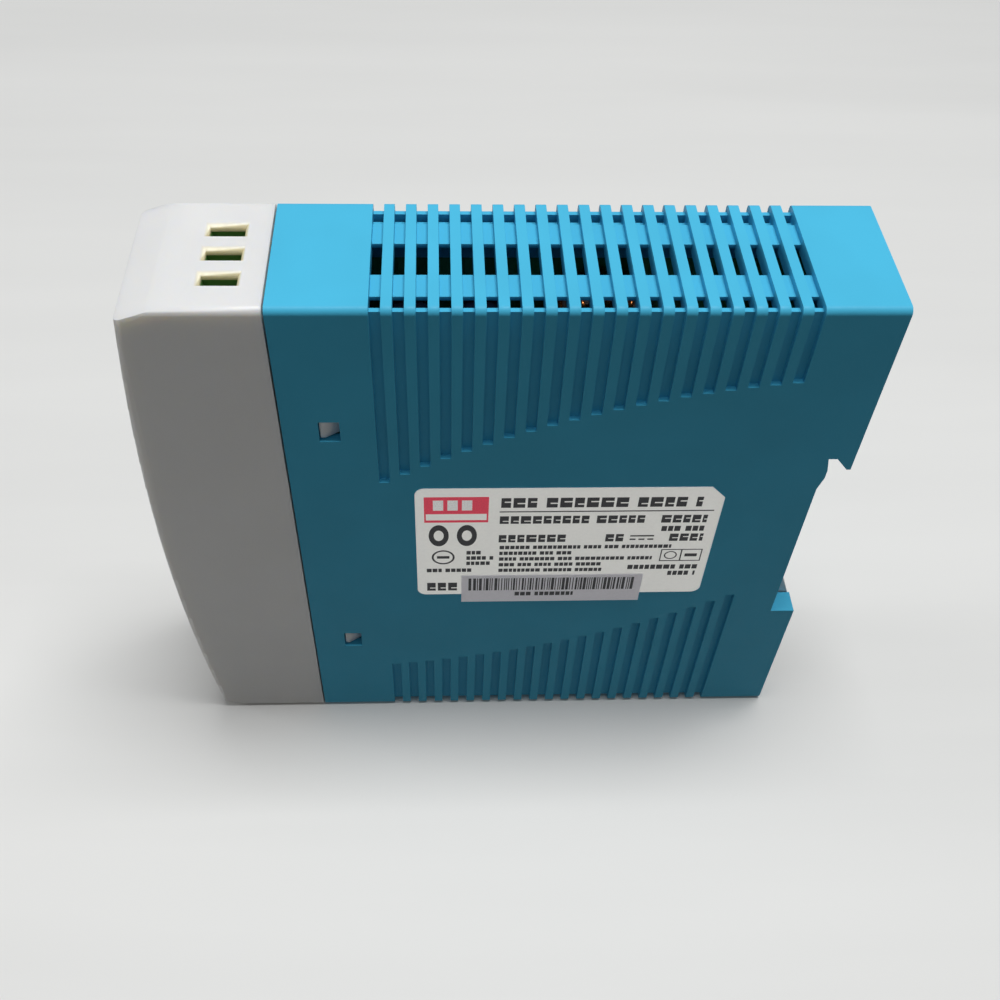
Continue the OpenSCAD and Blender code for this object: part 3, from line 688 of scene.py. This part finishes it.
class Print:
    """Ink on a label's face. Places are in millimetres from the rating label's front and top edges."""

    def __init__(self, name, ink_material, face_x):
        self.name = name
        self.ink = ink_material
        self.face_x = face_x
        self.builder = bmesh.new()

    def bar(self, left, top, width, height):
        y = label_low.y + left * MM
        z = label_high.z - top * MM
        low = (self.face_x, y, z - height * MM)
        high = (self.face_x + PRINT_T, y + width * MM, z)
        add_block(self.builder, low, high)

    def outline(self, left, top, width, height, line):
        self.bar(left, top, width, line)
        self.bar(left, top + height - line, width, line)
        self.bar(left, top + line, line, height - 2 * line)
        self.bar(left + width - line, top + line, line, height - 2 * line)

    def ring(self, left, top, width, height, line):
        """An oval outline of that line width, turned round and then drawn out in height."""
        middle = Vector((self.face_x, label_low.y + (left + width / 2) * MM,
                         label_high.z - (top + height / 2) * MM))
        outer = width / 2 * MM
        inner = outer - line * MM
        corners = [self.builder.verts.new(middle + Vector((out, along, 0)))
                   for out, along in ((0, inner), (0, outer), (PRINT_T, outer), (PRINT_T, inner))]
        edges = [self.builder.edges.new(pair) for pair in zip(corners, corners[1:] + corners[:1])]
        before = set(self.builder.verts) - set(corners)
        bmesh.ops.spin(self.builder, geom=corners + edges, cent=middle, axis=(1, 0, 0), angle=FULL_TURN,
                       steps=40, use_merge=True, use_duplicate=False)
        bmesh.ops.scale(self.builder, vec=(1, 1, height / width), space=Matrix.Translation(-middle),
                        verts=[vert for vert in self.builder.verts if vert not in before])

    def line(self, left, top, right, height, seed, bold=False):
        """A row of marks in groups, as wide as a printed line, that spell nothing."""
        chance = random.Random(seed)
        at = left
        in_group = 0
        while at < right - 0.3 * height:
            width = height * chance.uniform(0.6, 0.9)
            width = min(width, right - at)
            if bold:
                slit = chance.choice((0.35, 0.5, 0.6))
                gap = height * 0.13
                self.bar(at, top, width, height * slit)
                self.bar(at, top + height * slit + gap, width, height * (1 - slit) - gap)
                self.bar(at, top + height * slit, width * 0.34, gap)
            else:
                self.bar(at, top, width, height)
            in_group += 1
            at += width + height * 0.17
            if in_group > 2 and chance.random() < 0.22:
                at += height * 0.5
                in_group = 0

    def finish(self):
        bmesh.ops.recalc_face_normals(self.builder, faces=self.builder.faces)
        printed = piece_from(self.builder, self.name, "supply", "label_film", smooth=False)
        printed.data.materials.clear()
        printed.data.materials.append(self.ink)


def rating_print():
    black = Print("rating_print_black", BLACK_INK, label_high.x)
    for left in (1.9, 6.1):
        black.ring(left, 8.0, 3.0, 4.9, 0.75)
    black.ring(2.3, 13.9, 3.5, 3.4, 0.3)
    black.bar(3.1, 15.3, 1.9, 0.6)
    for top, right in ((14.1, 10.2), (15.4, 11.7), (16.7, 11.2)):
        black.line(7.6, top, right, 0.85, seed=int(top * 10))
    black.line(1.5, 18.4, 8.5, 0.85, seed=2)
    black.line(1.5, 22.0, 6.2, 2.0, seed=3, bold=True)
    black.line(12.5, 2.1, 41.9, 2.1, seed=4, bold=True)
    black.bar(12.3, 5.0, 31.6, 0.22)
    black.line(12.4, 6.1, 34.3, 1.7, seed=5, bold=True)
    black.line(36.4, 6.1, 43.2, 1.7, seed=6, bold=True)
    black.line(36.7, 8.6, 43.5, 1.15, seed=7)
    black.line(12.4, 10.4, 23.2, 1.7, seed=8, bold=True)
    black.line(28.5, 10.4, 31.4, 1.7, seed=9, bold=True)
    black.bar(32.2, 10.7, 3.6, 0.3)
    for k in range(3):
        black.bar(32.2 + 1.35 * k, 11.5, 0.9, 0.3)
    black.line(38.2, 10.4, 43.3, 1.7, seed=10, bold=True)
    for k, right in enumerate((38.8, 23.6, 36.2, 28.6, 28.9)):
        black.line(12.6, 12.95 + 1.4 * k, right, 0.8, seed=20 + k)
    black.outline(37.4, 14.1, 3.3, 2.9, 0.18)
    black.outline(40.5, 14.1, 3.3, 2.9, 0.18)
    black.ring(38.0, 14.6, 2.0, 1.9, 0.2)
    black.bar(41.2, 15.2, 1.9, 0.7)
    black.line(32.7, 17.9, 43.6, 1.05, seed=30)
    black.line(39.2, 19.5, 43.5, 1.05, seed=31)
    black.finish()
    red = Print("rating_print_red", RED_INK, label_high.x)
    red.bar(1.3, 1.8, 9.4, 3.7)
    red.bar(1.3, 5.5, 0.25, 1.4)
    red.bar(10.45, 5.5, 0.25, 1.4)
    red.bar(1.3, 6.9, 9.4, 0.5)
    red.finish()
    pale = Print("rating_print_pale", PALE_INK, label_high.x + PRINT_T)
    for left in (2.6, 4.7, 6.8):
        pale.bar(left, 2.5, 1.5, 2.2)
    pale.finish()


def serial_print():
    """A plain bar pattern of chance widths, over a row of small marks."""
    bars = Print("serial_print", BLACK_INK, serial_high.x)
    chance = random.Random(11)
    at, end = 8.0, 34.2
    while at < end:
        width = chance.choice((0.16, 0.16, 0.3, 0.44))
        bars.bar(at, 20.9, width, 3.1)
        at += width + chance.choice((0.16, 0.16, 0.3))
    bars.line(15.4, 24.5, 24.7, 0.95, seed=12)
    bars.finish()


BLACK_INK = ink("black_ink", (0.02, 0.02, 0.025))
RED_INK = ink("red_ink", (0.97, 0.09, 0.15), 0.65)
PALE_INK = ink("pale_ink", (0.97, 0.93, 0.92), 0.65)


# ---------- put it together ----------

for node_name, node in nodes.items():
    dress(node, SLOT_OF[node_name])
    round_edges(node, **OWN_EDGES.get(node_name, {}))
nodes["serial_label"].data.materials[0] = serial_paper()

for side in SIDES:
    for pole in POLES:
        clamp_screw(side, pole)
adjuster()
latch_spring()
light_pipe()
wire_winding("line_choke_windings", "line_choke_core", ((35, 110, 10), (215, 110, 10)))
wire_winding("output_choke_winding", "output_choke_core", ((30, 300, 23),))
rating_print()
serial_print()


# ---------- floor, light and camera ----------

FLOOR = (0.735, 0.735, 0.72)

# Light from the room above, and the little that comes back up from below
ABOVE = (0.178, 0.184, 0.19)
BELOW = (0.105, 0.097, 0.085)

# How far either side of level they fade into each other
HORIZON = 0.1


def make_floor():
    builder = bmesh.new()
    bmesh.ops.create_grid(builder, x_segments=1, y_segments=1, size=3)
    mesh = bpy.data.meshes.new("floor")
    builder.to_mesh(mesh)
    builder.free()
    floor = bpy.data.objects.new("floor", mesh)
    scene.collection.objects.link(floor)
    finish = Finish("pale_floor", FLOOR, 0.6)
    streaks = finish.noise(30 * MM, detail=5, stretch=(1, 0.12, 1))
    finish.drift(streaks, tint(FLOOR, -0.02), tint(FLOOR, 0.02))
    floor.data.materials.append(finish.material)
    floor.visible_diffuse = False


def soft_box(name, place, aim, size, power):
    light = bpy.data.lights.new(name, "AREA")
    light.shape = "RECTANGLE"
    light.size, light.size_y = size
    light.energy = power
    lamp = bpy.data.objects.new(name, light)
    scene.collection.objects.link(lamp)
    lamp.location = place
    lamp.rotation_euler = (Vector(aim) - Vector(place)).to_track_quat("-Z", "Y").to_euler()


make_floor()
soft_box("key", (-0.05, 0.09, 0.95), (-0.05, 0, 0.05), (0.3, 0.5), 7.55)
soft_box("front_fill", (-0.12, -1.0, 0.5), (0, 0, 0.05), (0.4, 0.4), 2)

world = bpy.data.worlds.new("room")
world.use_nodes = True
scene.world = world
sky = world.node_tree
direction = sky.nodes.new("ShaderNodeTexCoord")
heading = sky.nodes.new("ShaderNodeSeparateXYZ")
height = sky.nodes.new("ShaderNodeMapRange")
tones = sky.nodes.new("ShaderNodeMix")
tones.data_type = "RGBA"
height.inputs["From Min"].default_value = -HORIZON
height.inputs["From Max"].default_value = HORIZON
tones.inputs[6].default_value = (*BELOW, 1)
tones.inputs[7].default_value = (*ABOVE, 1)
sky.links.new(direction.outputs["Generated"], heading.inputs[0])
sky.links.new(heading.outputs["Z"], height.inputs["Value"])
sky.links.new(height.outputs["Result"], tones.inputs["Factor"])
sky.links.new(tones.outputs[2], sky.nodes["Background"].inputs["Color"])
sky.nodes["Background"].inputs["Strength"].default_value = 1
scene.view_settings.view_transform = "Standard"

# The camera looks down on the labelled side and the top, rolled a little
EYE = (0.118908, -0.008252, 0.177255)
AZIMUTH = math.radians(86.184)
ELEVATION = math.radians(50.734)
ROLL = math.radians(2.44)
camera_data = bpy.data.cameras.new("camera")
camera_data.sensor_width = 36
camera_data.lens = 40.613
camera_data.shift_x = 0.012
camera_data.shift_y = 0.045
camera_data.clip_start = 0.01
camera = bpy.data.objects.new("camera", camera_data)
scene.collection.objects.link(camera)
backward = Vector((math.sin(AZIMUTH) * math.cos(ELEVATION), -math.cos(AZIMUTH) * math.cos(ELEVATION),
                   math.sin(ELEVATION)))
level = Vector((0, 0, 1)).cross(backward).normalized()
upright = backward.cross(level)
right = level * math.cos(ROLL) + upright * math.sin(ROLL)
up = upright * math.cos(ROLL) - level * math.sin(ROLL)
turn = Matrix((right, up, backward)).transposed()
camera.matrix_world = Matrix.Translation(EYE) @ turn.to_4x4()
scene.camera = camera
